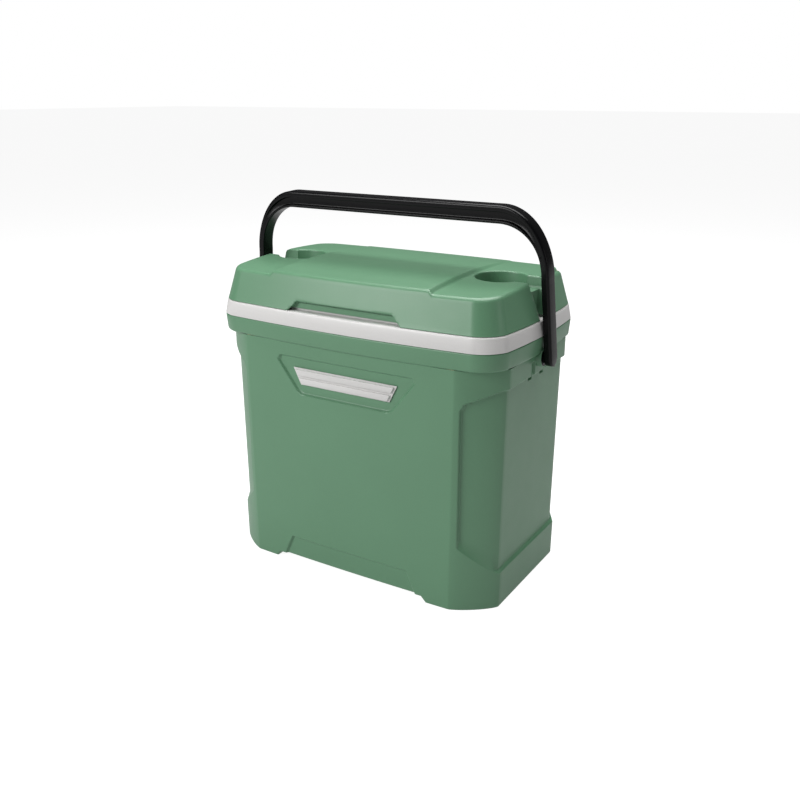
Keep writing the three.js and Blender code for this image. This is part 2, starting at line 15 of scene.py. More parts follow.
import bmesh
import bpy
import numpy as np
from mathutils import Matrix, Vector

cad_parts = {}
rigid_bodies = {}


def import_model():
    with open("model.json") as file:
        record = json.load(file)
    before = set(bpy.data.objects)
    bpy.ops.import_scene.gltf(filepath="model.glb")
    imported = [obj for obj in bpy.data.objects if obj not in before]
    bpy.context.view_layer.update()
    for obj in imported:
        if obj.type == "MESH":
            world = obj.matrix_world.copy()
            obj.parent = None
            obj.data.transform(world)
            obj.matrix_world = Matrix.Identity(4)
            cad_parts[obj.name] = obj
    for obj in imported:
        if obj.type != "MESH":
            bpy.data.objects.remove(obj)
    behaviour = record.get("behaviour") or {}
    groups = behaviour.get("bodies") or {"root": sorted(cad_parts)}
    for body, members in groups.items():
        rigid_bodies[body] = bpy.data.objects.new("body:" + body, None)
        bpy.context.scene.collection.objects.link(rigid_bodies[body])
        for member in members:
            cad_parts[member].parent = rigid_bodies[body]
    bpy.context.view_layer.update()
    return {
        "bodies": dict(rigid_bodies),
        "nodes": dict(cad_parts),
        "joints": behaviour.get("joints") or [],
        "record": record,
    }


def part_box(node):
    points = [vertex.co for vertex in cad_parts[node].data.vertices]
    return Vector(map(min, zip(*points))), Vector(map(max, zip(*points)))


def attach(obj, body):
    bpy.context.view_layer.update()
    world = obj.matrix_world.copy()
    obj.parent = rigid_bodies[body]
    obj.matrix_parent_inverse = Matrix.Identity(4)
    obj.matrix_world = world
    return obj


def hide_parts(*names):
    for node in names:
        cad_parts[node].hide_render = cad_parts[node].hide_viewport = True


MM = 0.001
LOG = logging.getLogger("cooler")


# ---------------------------------------------------------------------------------------
# Finishes
# ---------------------------------------------------------------------------------------


class Slot(Enum):
    """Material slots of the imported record."""

    GREEN = "green_plastic"
    WHITE = "white_plastic"
    BLACK = "black_plastic"
    FOAM = "foam"
    STEEL = "steel"


@dataclass(frozen=True)
class Plastic:
    """A moulded plastic: a body colour with slight flow marks and a spark-eroded grain.

    Lengths are in metres. The grain is fine noise that only tilts the surface, and the
    mottle is broad noise that shifts the colour and the roughness a little.
    """

    name: str
    colour: tuple[float, float, float]
    roughness: float
    grain_size: float = 0.0009
    grain_depth: float = 0.00004
    mottle: float = 0.05
    shine: float = 0.5

    def build(self) -> bpy.types.Material:
        """Makes the material.

        Returns:
            The node material, which reads Object coordinates only.
        """
        material = bpy.data.materials.new(self.name)
        material.use_nodes = True
        tree = material.node_tree
        nodes, links = tree.nodes, tree.links
        shader = nodes["Principled BSDF"]
        shader.inputs["IOR"].default_value = 1.49
        shader.inputs["Specular IOR Level"].default_value = self.shine
        place = nodes.new("ShaderNodeTexCoord").outputs["Object"]

        broad = self._noise(nodes, links, place, 9.0, 3.0)
        tint = nodes.new("ShaderNodeMix")
        tint.data_type = "RGBA"
        links.new(broad, tint.inputs["Factor"])
        low, high = (self._shade(1 - self.mottle), self._shade(1 + self.mottle))
        tint.inputs["A"].default_value = low
        tint.inputs["B"].default_value = high

        fine = self._noise(nodes, links, place, 1 / self.grain_size, 2.0)
        fleck = nodes.new("ShaderNodeMix")
        fleck.data_type = "RGBA"
        fleck.blend_type = "MULTIPLY"
        fleck.inputs["Factor"].default_value = 0.12
        links.new(tint.outputs["Result"], fleck.inputs["A"])
        links.new(self._ramp(nodes, links, fine, (0.35, 0.78), (0.62, 1.0)), fleck.inputs["B"])
        links.new(fleck.outputs["Result"], shader.inputs["Base Color"])

        worn = self._noise(nodes, links, place, 38.0, 5.0)
        rough = nodes.new("ShaderNodeMapRange")
        rough.inputs["To Min"].default_value = self.roughness - 0.05
        rough.inputs["To Max"].default_value = self.roughness + 0.05
        links.new(worn, rough.inputs["Value"])
        links.new(rough.outputs["Result"], shader.inputs["Roughness"])

        bump = nodes.new("ShaderNodeBump")
        bump.inputs["Strength"].default_value = 1.0
        bump.inputs["Distance"].default_value = self.grain_depth
        links.new(fine, bump.inputs["Height"])
        links.new(bump.outputs["Normal"], shader.inputs["Normal"])
        return material

    def _shade(self, factor: float) -> tuple[float, float, float, float]:
        """Returns the body colour made lighter or darker, with alpha."""
        return (*(min(channel * factor, 1.0) for channel in self.colour), 1.0)

    @staticmethod
    def _noise(nodes: bpy.types.Nodes, links: bpy.types.NodeLinks, place: bpy.types.NodeSocket,
               scale: float, detail: float) -> bpy.types.NodeSocket:
        """Returns the factor output of a noise of so many cycles per metre.

        Args:
            nodes: The material's nodes.
            links: The material's links.
            place: The coordinates that the noise reads.
            scale: Cycles per metre.
            detail: How many finer octaves are added.

        Returns:
            The noise's factor, from 0 to 1.
        """
        noise = nodes.new("ShaderNodeTexNoise")
        noise.inputs["Scale"].default_value = scale
        noise.inputs["Detail"].default_value = detail
        links.new(place, noise.inputs["Vector"])
        return noise.outputs["Fac"]

    @staticmethod
    def _ramp(nodes: bpy.types.Nodes, links: bpy.types.NodeLinks, value: bpy.types.NodeSocket,
              span: tuple[float, float], levels: tuple[float, float]) -> bpy.types.NodeSocket:
        """Returns a grey that goes between two levels as the value crosses the span.

        Args:
            nodes: The material's nodes.
            links: The material's links.
            value: The value that drives the ramp.
            span: Where the ramp starts and ends.
            levels: The results at the start and at the end.

        Returns:
            The ramp's result.
        """
        ramp = nodes.new("ShaderNodeMapRange")
        ramp.inputs["From Min"].default_value = span[0]
        ramp.inputs["From Max"].default_value = span[1]
        ramp.inputs["To Min"].default_value = levels[0]
        ramp.inputs["To Max"].default_value = levels[1]
        links.new(value, ramp.inputs["Value"])
        return ramp.outputs["Result"]


@dataclass(frozen=True)
class Steel:
    """Plated steel with turning marks round the X axis and slight tarnish."""

    name: str
    colour: tuple[float, float, float] = (0.52, 0.53, 0.55)

    def build(self) -> bpy.types.Material:
        """Returns the node material, which reads Object coordinates only."""
        material = bpy.data.materials.new(self.name)
        material.use_nodes = True
        nodes, links = material.node_tree.nodes, material.node_tree.links
        shader = nodes["Principled BSDF"]
        shader.inputs["Metallic"].default_value = 1.0
        place = nodes.new("ShaderNodeTexCoord").outputs["Object"]
        noise = Plastic._noise(nodes, links, place, 700.0, 4.0)
        tint = nodes.new("ShaderNodeMix")
        tint.data_type = "RGBA"
        links.new(noise, tint.inputs["Factor"])
        tint.inputs["A"].default_value = (*(0.8 * c for c in self.colour), 1.0)
        tint.inputs["B"].default_value = (*self.colour, 1.0)
        links.new(tint.outputs["Result"], shader.inputs["Base Color"])
        rough = Plastic._ramp(nodes, links, noise, (0.3, 0.7), (0.25, 0.42))
        links.new(rough, shader.inputs["Roughness"])
        return material


FINISHES = {
    Slot.GREEN: Plastic("sage_green_plastic", (0.118, 0.262, 0.152), 0.36,
                        grain_size=0.0012, grain_depth=0.00005),
    Slot.WHITE: Plastic("bone_white_plastic", (0.68, 0.67, 0.66), 0.36, mottle=0.015),
    Slot.BLACK: Plastic("black_plastic", (0.003, 0.003, 0.0036), 0.22,
                        grain_depth=0.000003, mottle=0.1, shine=0.2),
    Slot.FOAM: Plastic("pale_foam", (0.78, 0.70, 0.44), 0.85,
                       grain_size=0.002, grain_depth=0.0004, mottle=0.1),
    Slot.STEEL: Steel("plated_steel"),
}


class Wardrobe:
    """Builds each finish once and puts it on pieces."""

    def __init__(self) -> None:
        """Starts with no material built."""
        self._built: dict[Slot, bpy.types.Material] = {}

    def material(self, slot: Slot) -> bpy.types.Material:
        """Returns the material of a slot, made at its first use.

        Args:
            slot: The material slot.

        Returns:
            The slot's material.
        """
        if slot not in self._built:
            self._built[slot] = FINISHES[slot].build()
        return self._built[slot]

    def dress(self, piece: bpy.types.Object, slot: Slot) -> None:
        """Gives a piece one finish all over."""
        piece.data.materials.clear()
        piece.data.materials.append(self.material(slot))


# ---------------------------------------------------------------------------------------
# Surfaces
# ---------------------------------------------------------------------------------------


def smooth(share: np.ndarray) -> np.ndarray:
    """Returns an S curve: 3 s^2 - 2 s^3 of the share held between 0 and 1."""
    share = np.clip(share, 0.0, 1.0)
    return share * share * (3 - 2 * share)


def knots(stops: list[float], counts: list[int]) -> np.ndarray:
    """Spaces values evenly between stops.

    Args:
        stops: The values where the spacing changes.
        counts: How many steps lie between each stop and the next.

    Returns:
        All the values in order, the last stop included.
    """
    parts = [np.linspace(a, b, n, endpoint=False) for a, b, n in zip(stops, stops[1:], counts)]
    return np.concatenate([*parts, [stops[-1]]])


def spread(stops: list, counts: list[int], columns: int) -> np.ndarray:
    """Spaces rows between stops that may differ from column to column.

    Args:
        stops: Heights, each a number or an array with one value per column.
        counts: How many steps lie between each stop and the next.
        columns: The number of columns.

    Returns:
        A (rows, columns) array of heights.
    """
    levels = [np.broadcast_to(np.asarray(stop, float), (columns,)) for stop in stops]
    rows = []
    for low, high, count in zip(levels, levels[1:], counts):
        share = np.linspace(0, 1, count, endpoint=False)[:, None]
        rows.append(low + (high - low) * share)
    return np.vstack([*rows, levels[-1][None, :]])


def outline_distance(x: np.ndarray, z: np.ndarray, corners: list[tuple[float, float]]) -> np.ndarray:
    """Signed distance to a closed outline, negative inside.

    The distance is the least one to any edge, and the sign comes from counting how many
    edges a ray to the right crosses.

    Args:
        x: First coordinates of the points.
        z: Second coordinates of the points.
        corners: The outline's corners in order.

    Returns:
        The distances, in the shape of x.
    """
    nearest = np.full(np.broadcast(x, z).shape, np.inf)
    inside = np.zeros(nearest.shape, bool)
    for (ax, az), (bx, bz) in zip(corners, corners[1:] + corners[:1]):
        ex, ez = bx - ax, bz - az
        share = np.clip(((x - ax) * ex + (z - az) * ez) / (ex * ex + ez * ez), 0, 1)
        nearest = np.minimum(nearest, np.hypot(x - ax - share * ex, z - az - share * ez))
        if az != bz:
            crossing = ax + (z - az) * ex / ez
            inside ^= ((az > z) != (bz > z)) & (x < crossing)
    return np.where(inside, -nearest, nearest)


def sunk(x: np.ndarray, z: np.ndarray, corners: list[tuple[float, float]], depth: float,
         slope: float, rounding: float = 0.0) -> np.ndarray:
    """Depth of a panel sunk inside an outline.

    The depth rises as an S curve over the width of the slope, measured inwards from the
    outline, whose corners are rounded by taking the distance to a smaller outline.

    Args:
        x: First coordinates of the points.
        z: Second coordinates of the points.
        corners: The outline's corners.
        depth: The full depth.
        slope: The width of the sloping edge.
        rounding: The radius of the corners.

    Returns:
        The depth at each point.
    """
    middle = np.mean(corners, axis=0)
    pulled = [(a + math.copysign(rounding, middle[0] - a), b + math.copysign(rounding, middle[1] - b))
              for a, b in corners]
    distance = outline_distance(x, z, pulled) - rounding
    return depth * smooth(-distance / slope)


@dataclass(frozen=True)
class Outline:
    """The plan of a moulding: a rectangle with bowed sides and soft corners.

    Along the front and back y = half_y - bow_y t^2, and along the ends
    x = half_x - bow_x t^2, with t from 0 at the middle to 1 at the corner. A corner of
    size (cx, cy) is a power curve, x = cos(a)^p and y = sin(a)^p, with p = 2 / fullness:
    fullness 2 is a quarter ellipse, and near 1 it is a chamfer with soft edges.
    """

    half_x: float
    half_y: float
    bow_x: float
    bow_y: float
    corner_x: float
    corner_y: float
    fullness: float

    def front_reach(self, inset: np.ndarray) -> np.ndarray:
        """Returns the half length of the front up to where the corner starts."""
        return self.half_x - inset - self._corner(self.corner_x, inset)

    @staticmethod
    def _corner(size: float, inset: np.ndarray) -> np.ndarray:
        """Returns the corner's size once the outline has moved in."""
        return np.maximum(size - 0.55 * inset, 6.0)

    def quarter(self, front: np.ndarray, turn: np.ndarray, side: np.ndarray,
                inset: np.ndarray) -> tuple[np.ndarray, np.ndarray]:
        """Points of the front right quarter, from the middle of the front to the right end.

        Args:
            front: Shares of the front's half length, per column or per row and column.
            turn: Angles through the corner, from 0 at the front to pi / 2 at the end.
            side: Shares of the end's half length, from 1 down to 0.
            inset: How far the points move in, (rows, 1) or (rows, columns).

        Returns:
            x and y, each (rows, columns).
        """
        n_front, n_turn = front.shape[-1], turn.shape[-1]
        columns = n_front + n_turn + side.shape[-1]
        inset = np.broadcast_to(inset, (inset.shape[0], columns))
        a, b, c = np.split(inset, [n_front, n_front + n_turn], axis=1)
        front = np.broadcast_to(front, a.shape)
        x_front = front * self.front_reach(a)
        y_front = -(self.half_y - a - self.bow_y * front**2)
        power = 2 / self.fullness
        cx, cy = self._corner(self.corner_x, b), self._corner(self.corner_y, b)
        x_turn = self.half_x - b - cx + (cx - self.bow_x) * np.sin(turn) ** power
        y_turn = -(self.half_y - b - cy + (cy - self.bow_y) * np.cos(turn) ** power)
        side = np.broadcast_to(side, c.shape)
        x_side = self.half_x - c - self.bow_x * side**2
        y_side = -side * (self.half_y - c - self._corner(self.corner_y, c))
        x = np.concatenate([x_front, x_turn, x_side], axis=1)
        y = np.concatenate([y_front, y_turn, y_side], axis=1)
        return x, y


def whole_ring(front: np.ndarray, back: np.ndarray) -> np.ndarray:
    """Joins quarters into full rings, anticlockwise from the middle of the front.

    Args:
        front: The front right quarter, (rows, columns, 3), from the middle of the front to
            the middle of the right end.
        back: The back right quarter, drawn as if it were the front one.

    Returns:
        Points as (rows, ring columns, 3).
    """
    half = np.concatenate([front, back[:, -2::-1] * (1, -1, 1)], axis=1)
    return np.concatenate([half, half[:, -2:0:-1] * (-1, 1, 1)], axis=1)


def grid_faces(rows: int, columns: int, start: int = 0, closed: bool = True) -> np.ndarray:
    """Quads of a grid whose rows go upwards and whose columns go anticlockwise.

    Args:
        rows: Number of rows.
        columns: Number of columns.
        start: Index of the grid's first point.
        closed: Whether the last column joins the first.

    Returns:
        An (n, 4) array of point numbers with the faces outwards.
    """
    i = np.arange(rows - 1)[:, None] * columns
    j = np.arange(columns if closed else columns - 1)[None, :]
    k = (j + 1) % columns
    quads = np.stack([i + j, i + k, i + k + columns, i + j + columns], axis=-1)
    return quads.reshape(-1, 4) + start


@dataclass
class Shape:
    """A mesh being put together from grids and flat faces."""

    points: list[np.ndarray] = field(default_factory=list)
    faces: list[list[int]] = field(default_factory=list)
    count: int = 0

    def add_points(self, points: np.ndarray) -> int:
        """Adds points in millimetres and returns the number of the first.

        Args:
            points: Points whose last axis is x, y, z.

        Returns:
            The number of the first point.
        """
        flat = points.reshape(-1, 3)
        self.points.append(flat)
        start = self.count
        self.count += len(flat)
        return start

    def add_grid(self, points: np.ndarray, closed: bool = True, flip: bool = False) -> int:
        """Adds a (rows, columns, 3) grid with its quads.

        Args:
            points: The grid's points in millimetres.
            closed: Whether the columns go all the way round.
            flip: Whether the faces are turned over.

        Returns:
            The number of the grid's first point.
        """
        start = self.add_points(points)
        quads = grid_faces(points.shape[0], points.shape[1], start, closed)
        self.faces.extend((quads[:, ::-1] if flip else quads).tolist())
        return start

    def add_flat(self, numbers: list[int]) -> None:
        """Adds one flat face with any number of corners."""
        self.faces.append(list(numbers))

    def add_shape(self, other: "Shape") -> None:
        """Adds the points and the faces of another shape."""
        start = self.add_points(np.concatenate(other.points))
        self.faces.extend([[start + i for i in face] for face in other.faces])

    def add_tube(self, rows: np.ndarray) -> None:
        """Adds a tube through loops of points, with flat ends.

        Args:
            rows: The loops, (rows, columns, 3).
        """
        start = self.add_grid(rows)
        count, last = rows.shape[1], start + (len(rows) - 1) * rows.shape[1]
        self.add_flat(list(range(start, start + count)))
        self.add_flat(list(range(last, last + count)))

    def piece(self, name: str, merge: float = 0.002, crease: float = 50.0) -> bpy.types.Object:
        """Makes the object, its coinciding points merged and its normals outwards.

        Args:
            name: The piece's name.
            merge: Points closer than this many millimetres become one.
            crease: Edges sharper than this many degrees stay sharp.

        Returns:
            The object, at the origin, in metres.
        """
        mesh = bpy.data.meshes.new(name)
        mesh.from_pydata((np.concatenate(self.points) * MM).tolist(), [], self.faces)
        work = bmesh.new()
        work.from_mesh(mesh)
        bmesh.ops.remove_doubles(work, verts=work.verts, dist=merge * MM)
        bmesh.ops.dissolve_degenerate(work, edges=work.edges, dist=0.5 * merge * MM)
        bmesh.ops.recalc_face_normals(work, faces=work.faces)
        work.to_mesh(mesh)
        work.free()
        mesh.shade_smooth()
        mesh.set_sharp_from_angle(angle=math.radians(crease))
        piece = bpy.data.objects.new(name, mesh)
        bpy.context.scene.collection.objects.link(piece)
        return piece


@dataclass(frozen=True)
class Places:
    """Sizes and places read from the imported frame, in millimetres."""

    rim: np.ndarray
    body_top: float
    rim_top: float
    band_top: float
    lid_bottom: float
    crown: float
    pivot_z: float
    hinge_y: float
    hinge_z: float

    @classmethod
    def read(cls, frame: dict) -> "Places":
        """Reads the places.


        Returns:
            The places.
        """
        liner_low, liner_high = (np.array(corner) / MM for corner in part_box("inner_liner"))
        shell_high = np.array(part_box("outer_shell")[1]) / MM
        lid_low, lid_high = (np.array(corner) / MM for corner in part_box("lid_shell"))
        joints = {joint["name"]: joint for joint in frame["joints"]}
        swing, hinge = joints["handle_swing"]["pos_m"], joints["lid_hinge"]["pos_m"]
        return cls(
            rim=np.round(liner_high[:2], 1),
            body_top=shell_high[2] - 24.4,
            rim_top=shell_high[2],
            band_top=liner_high[2],
            lid_bottom=lid_low[2],
            crown=lid_high[2],
            pivot_z=swing[2] / MM,
            hinge_y=hinge[1] / MM,
            hinge_z=hinge[2] / MM,
        )


def rim_outline(places: Places) -> Outline:
    """Returns the plan that the rim, the white band and the lid share."""
    return Outline(places.rim[0], places.rim[1], 5, 8, 44, 46, 1.75)


@dataclass(frozen=True)
class PlanColumns:
    """Where the columns of a quarter plan stand: along the front, round the corner, along the end."""

    front: np.ndarray
    turn: np.ndarray
    side: np.ndarray

    @classmethod
    def even(cls, front: int, turn: int, side: int) -> "PlanColumns":
        """Spaces so many columns evenly along each part.

        Args:
            front: Columns along the front.
            turn: Columns round the corner.
            side: Steps along the end.

        Returns:
            The columns.
        """
        return cls(
            np.linspace(0, 1, front, endpoint=False),
            np.linspace(0, math.pi / 2, turn, endpoint=False),
            np.linspace(1, 0, side + 1),
        )

    def rings(self, outline: Outline, profile: list[tuple[float, float]]) -> np.ndarray:
        """Carries a profile round an outline.

        Args:
            outline: The plan.
            profile: (inset, z) from ring to ring.

        Returns:
            Points as (rows, ring columns, 3).
        """
        insets, heights = np.array(profile, float).T
        x, y = outline.quarter(self.front, self.turn, self.side, insets[:, None])
        quarter = np.stack([x, y, np.broadcast_to(heights[:, None], x.shape)], axis=-1)
        return whole_ring(quarter, quarter)


def arc(radius: float, start: float, end: float, steps: int = 5) -> np.ndarray:
    """Points (a, b) = radius (cos t, sin t), for t from start to end in degrees."""
    turn = np.radians(np.linspace(start, end, steps + 1))
    return radius * np.stack([np.cos(turn), np.sin(turn)], axis=-1)


def lathe_x(profile: list[tuple[float, float]], y: float, z: float, sides: int = 48) -> Shape:
    """Turns a closed profile of (x, radius) round a line along X.

    Args:
        profile: The profile; it may start and end on the line, where it becomes a pole.
        y: Where the line runs.
        z: Its height.
        sides: How many columns go round.

    Returns:
        The closed shape.
    """
    x, radius = np.array(profile, float).T
    turn = np.linspace(0, 2 * math.pi, sides, endpoint=False)
    grid = np.stack([
        np.broadcast_to(x[:, None], (len(x), sides)),
        y + radius[:, None] * np.cos(turn),
        z + radius[:, None] * np.sin(turn),
    ], axis=-1)
    shape = Shape()
    if radius[0] > 0:
        grid = np.concatenate([grid, grid[:1]])
    shape.add_grid(grid)
    return shape


def carve(piece: bpy.types.Object, cutters: list[bpy.types.Object], crease: float) -> None:
    """Takes the cutters out of a piece and removes them.

    Args:
        piece: The piece, whose mesh is replaced by the carved one.
        cutters: Closed solids.
        crease: Edges sharper than this many degrees stay sharp.
    """
    for cutter in cutters:
        difference = piece.modifiers.new(cutter.name, "BOOLEAN")
        difference.operation = "DIFFERENCE"
        difference.solver = "MANIFOLD"
        difference.object = cutter
    bpy.context.view_layer.update()
    graph = bpy.context.evaluated_depsgraph_get()
    carved = bpy.data.meshes.new_from_object(piece.evaluated_get(graph))
    piece.modifiers.clear()
    piece.data = carved
    carved.shade_smooth()
    carved.set_sharp_from_angle(angle=math.radians(crease))
    for cutter in cutters:
        bpy.data.objects.remove(cutter)


# ---------------------------------------------------------------------------------------
# Chest
# ---------------------------------------------------------------------------------------


@dataclass
class OuterShell:
    """The green body: a plan with chamfered corners, sunk panels, feet and an overhanging rim."""

    places: Places
    wall: float = 3.0
    body: Outline = Outline(223, 135.2, 0, 2.5, 57, 45, 1.25)
    end_draft: float = 3.5
    edge_round: float = 3.0
    arch_height: float = 8.0
    arch_foot: float = 132.0
    arch_top: float = 124.0
    panel_depth: float = 4.5
    face_depth: float = 3.5
    front_breaks: tuple = (124, 132, 155)
    front_counts: tuple = (22, 12, 3, 4, 6, 3)
    turn_counts: tuple = (8, 16, 22)
    corner_panel: tuple = (
        (173, 92), (216, 53), (400, 54), (400, 314), (216, 313), (177, 297), (173, 290),
    )
    badge_panel: tuple = (
        (-73, 266), (73, 266), (79, 269.5), (111.5, 315),
        (108, 320.5), (-108, 320.5), (-111.5, 315), (-79, 269.5),
    )
    foot_panel: tuple = ((-113, 3), (113, 3), (113, 8), (99, 42), (-99, 42), (-113, 8))
    pocket: tuple = ((-25, 305), (-13, 305), (-13, 331), (-25, 331))

    def build(self) -> bpy.types.Object:
        """Makes the shell.

        Returns:
            The piece: outer wall, rim, inner wall and both floors as one closed surface.
        """
        outer_front, outer_back = self._wall_rows(0.0)
        inner_front, inner_back = self._wall_rows(self.wall)
        inner_front, inner_back = inner_front[::-3], inner_back[::-3]
        outer = whole_ring(outer_front, outer_back)
        rim = self._rim()
        inner = whole_ring(inner_front, inner_back)
        rows = np.concatenate([outer, rim, inner])
        shape = Shape()
        start = shape.add_grid(rows)
        columns = rows.shape[1]
        self._close_floor(shape, rows[0], start)
        self._close_floor(shape, rows[-1], start + (len(rows) - 1) * columns)
        for side in (-1, 1):
            self._boss(shape, side)
        return shape.piece("chest_outer_shell", crease=48)

    def _wall_rows(self, inset: float) -> tuple[np.ndarray, np.ndarray]:
        """Works out the wall below the rim, moved in by the inset.

        Every point starts on the plain wall, and the depth of the sunk panels at that place
        then moves it in.

        Args:
            inset: The wall thickness for the inner face, 0 for the outer one.

        Returns:
            The front and back quarters, each (rows, columns, 3).
        """
        corner = self.body.corner_x
        corner_start = self.body.half_x - corner

        def turn_at(x: float) -> float:
            """Returns the angle at which the corner reaches a place along X.

            Args:
                x: The place, past the corner's start.
            """
            return math.asin(((x - corner_start) / corner) ** (self.body.fullness / 2))

        turn = knots([0, turn_at(170), turn_at(184), math.pi / 2], list(self.turn_counts))[:-1]
        side = self._side_shares()
        corner_x = corner_start + corner * np.sin(turn) ** (2 / self.body.fullness)
        front_count = sum(self.front_counts)
        end_x = np.full(len(side), self.body.half_x)
        nominal = np.concatenate([np.zeros(front_count), corner_x, end_x])
        breaks = [0, 103, 113, *self.front_breaks, corner_start]
        nominal[:front_count] = knots(breaks, list(self.front_counts))[:-1]
        z = self._row_heights(nominal)
        front = self._front_shares(z[:, 0])
        lean = self._lean(z)

        def place(depth: np.ndarray) -> np.ndarray:
            """Returns the wall's points with that depth of sinking.

            Args:
                depth: How far each point is sunk.
            """
            moved = depth + self._foot_round(z, nominal) + inset
            x, y = self.body.quarter(front, turn, side, moved)
            lift = inset * (1 - smooth((z - z[:1]) / 40))
            height = np.minimum(z + lift, z[-1:] + inset)
            return np.stack([x * (1 - lean / self.body.half_x), y, height], axis=-1)

        plain = place(np.zeros(z.shape))
        x, y = plain[..., 0], plain[..., 1]
        shared = np.maximum(
            sunk(x, z, list(self.corner_panel), self.panel_depth, 3.5, 4),
            sunk(x, z, list(self.foot_panel), self.face_depth, 2.6, 2),
        )
        pocket = np.where(x > 214, sunk(y, z, list(self.pocket), 5.0, 1.6, 2), 0)
        shared = shared + np.where(pocket > 0, pocket * 0.6, 0)
        badge = sunk(x, z, list(self.badge_panel), self.face_depth, 2.6, 2.5)
        top = np.full((1, len(nominal), 3), 0.0)
        top[0] = place(shared)[-1]
        top[0, :, 2] = self.places.body_top + inset
        return (np.concatenate([place(np.maximum(shared, badge)), top]),
                np.concatenate([place(shared), top]))

    def _row_heights(self, x: np.ndarray) -> np.ndarray:
        """Heights of the wall's rows, closer together along the edges of the panels.

        Args:
            x: Where each column stands along X.

        Returns:
            Heights as (rows, columns).
        """
        sideways = smooth((x - 190) / 26)
        arch = self.arch_height * np.clip((self.arch_foot - x) / (self.arch_foot - self.arch_top), 0, 1)
        low_edge = np.interp(x, [173, 216], [92, 53])
        high_edge = np.interp(x, [173, 177, 216], [290, 297, 313])
        stops = [
            arch, arch + self.edge_round, 39, 45, low_edge - 4, low_edge + 5,
            262 + 41 * sideways, 271 + 36.2 * sideways, high_edge - 5.5, high_edge + 2.4,
            316.5, 322.5, 329, 333, self.places.body_top,
        ]
        return spread(stops, [5, 11, 6, 4, 11, 16, 9, 4, 10, 12, 8, 3, 5, 3], len(x))

    def _front_shares(self, z: np.ndarray) -> np.ndarray:
        """Shares of the front's length, with columns that follow the slanted panel edges.

        Args:
            z: The height of each row.

        Returns:
            Shares as (columns, rows).
        """
        heights = [8, 42, 70, 266, 269.5, 315, 320.5, 339]
        edge = np.interp(z, heights, [113, 99, 98, 76, 79, 111.5, 109, 109])
        reach = self.body.half_x - self.body.corner_x
        stops = [0, edge - 5, edge + 5, *self.front_breaks, reach]
        return spread(stops, list(self.front_counts), len(z))[:-1].T / reach

    @staticmethod
    def _side_shares() -> np.ndarray:
        """Returns shares of the end's half length, closer together beside the pivots."""
        return knots([1, 33 / 86, 28 / 86, 14 / 86, 9 / 86, 0], [8, 6, 7, 6, 4])

    def _lean(self, z: np.ndarray) -> np.ndarray:
        """Returns how far the ends lean in at each height."""
        return self.end_draft * np.clip(1 - z / 312, 0, 1)

    def _foot_round(self, z: np.ndarray, x: np.ndarray) -> np.ndarray:
        """Returns the inset of the rounded bottom edge: r - sqrt(r^2 - (r - height)^2).

        Args:
            z: Heights as (rows, columns).
            x: Places along X, for the shape only.

        Returns:
            Insets as (rows, columns).
        """
        rise = np.clip(z - z[:1], 0, self.edge_round)
        r = self.edge_round
        return r - np.sqrt(np.maximum(r * r - (r - rise) ** 2, 0)) + 0 * x

    def _rim(self) -> np.ndarray:
        """Works out the rim: underside, rounded edges, outside, lip and inside."""
        low, high = self.places.body_top, self.places.rim_top
        foot = [(5.2, low), (4.0, low + 0.25), (2.8, low + 1.0), (2.0, low + 2.1), (1.6, low + 3.6)]
        head = [(0.15, high - 2.0), (0.3, high - 1.0), (0.9, high - 0.3), (1.8, high)]
        inside = [(3.0, high), (3.3, high - 2), (4.6, low + 5), (6.5, low + self.wall)]
        columns = PlanColumns(
            np.linspace(0, 1, sum(self.front_counts), endpoint=False),
            np.linspace(0, math.pi / 2, sum(self.turn_counts), endpoint=False),
            self._side_shares(),
        )
        return columns.rings(rim_outline(self.places), foot + head + inside)

    def _close_floor(self, shape: Shape, ring: np.ndarray, start: int) -> None:
        """Closes a bottom ring: one flat face for each foot, each ramp and the arch.

        Args:
            shape: The shape that gets the faces.
            ring: The ring's points.
            start: The number of the ring's first point.
        """
        count = len(ring)
        order = np.arange(count)
        x = ring[:, 0]
        top, foot = self._break(x, self.arch_top), self._break(x, self.arch_foot)

        def add_strip(chosen: np.ndarray) -> None:
            """Adds a flat face through ring points in front and back.

            Args:
                chosen: The points' numbers in the ring.
            """
            front, back = chosen[ring[chosen, 1] < 0], chosen[ring[chosen, 1] > 0]
            loop = np.concatenate([front[np.argsort(x[front])], back[np.argsort(-x[back])]])
            shape.add_flat((start + loop).tolist())

        for sign in (1, -1):
            outer = self._run(order[sign * x >= foot - 0.01], count)
            shape.add_flat((start + outer).tolist())
            add_strip(order[(sign * x >= top - 0.01) & (sign * x <= foot + 0.01)])
        add_strip(order[np.abs(x) <= top + 0.01])

    @staticmethod
    def _break(x: np.ndarray, place: float) -> float:
        """Returns the column nearest to a place along X."""
        return float(np.abs(x)[np.argmin(np.abs(np.abs(x) - place))])

    @staticmethod
    def _run(numbers: np.ndarray, count: int) -> np.ndarray:
        """Turns a set of ring numbers so that it starts after its gap."""
        gaps = np.flatnonzero(np.diff(numbers) > 1)
        return np.roll(numbers, -(gaps[0] + 1)) if len(gaps) else numbers

    def _boss(self, shape: Shape, side: int) -> None:
        """Adds the collar round a pivot.

        Args:
            shape: The shape that the collar joins.
            side: -1 for the left end, 1 for the right.
        """
        face = self.places.rim[0] + 0.5
        collar = [
            (side * 216, 12.3), (side * face, 12.3), (side * face, 13.0),
            (side * (face - 0.5), 13.5), (side * 216, 13.5),
        ]
        shape.add_shape(lathe_x(collar, 0, self.places.pivot_z))


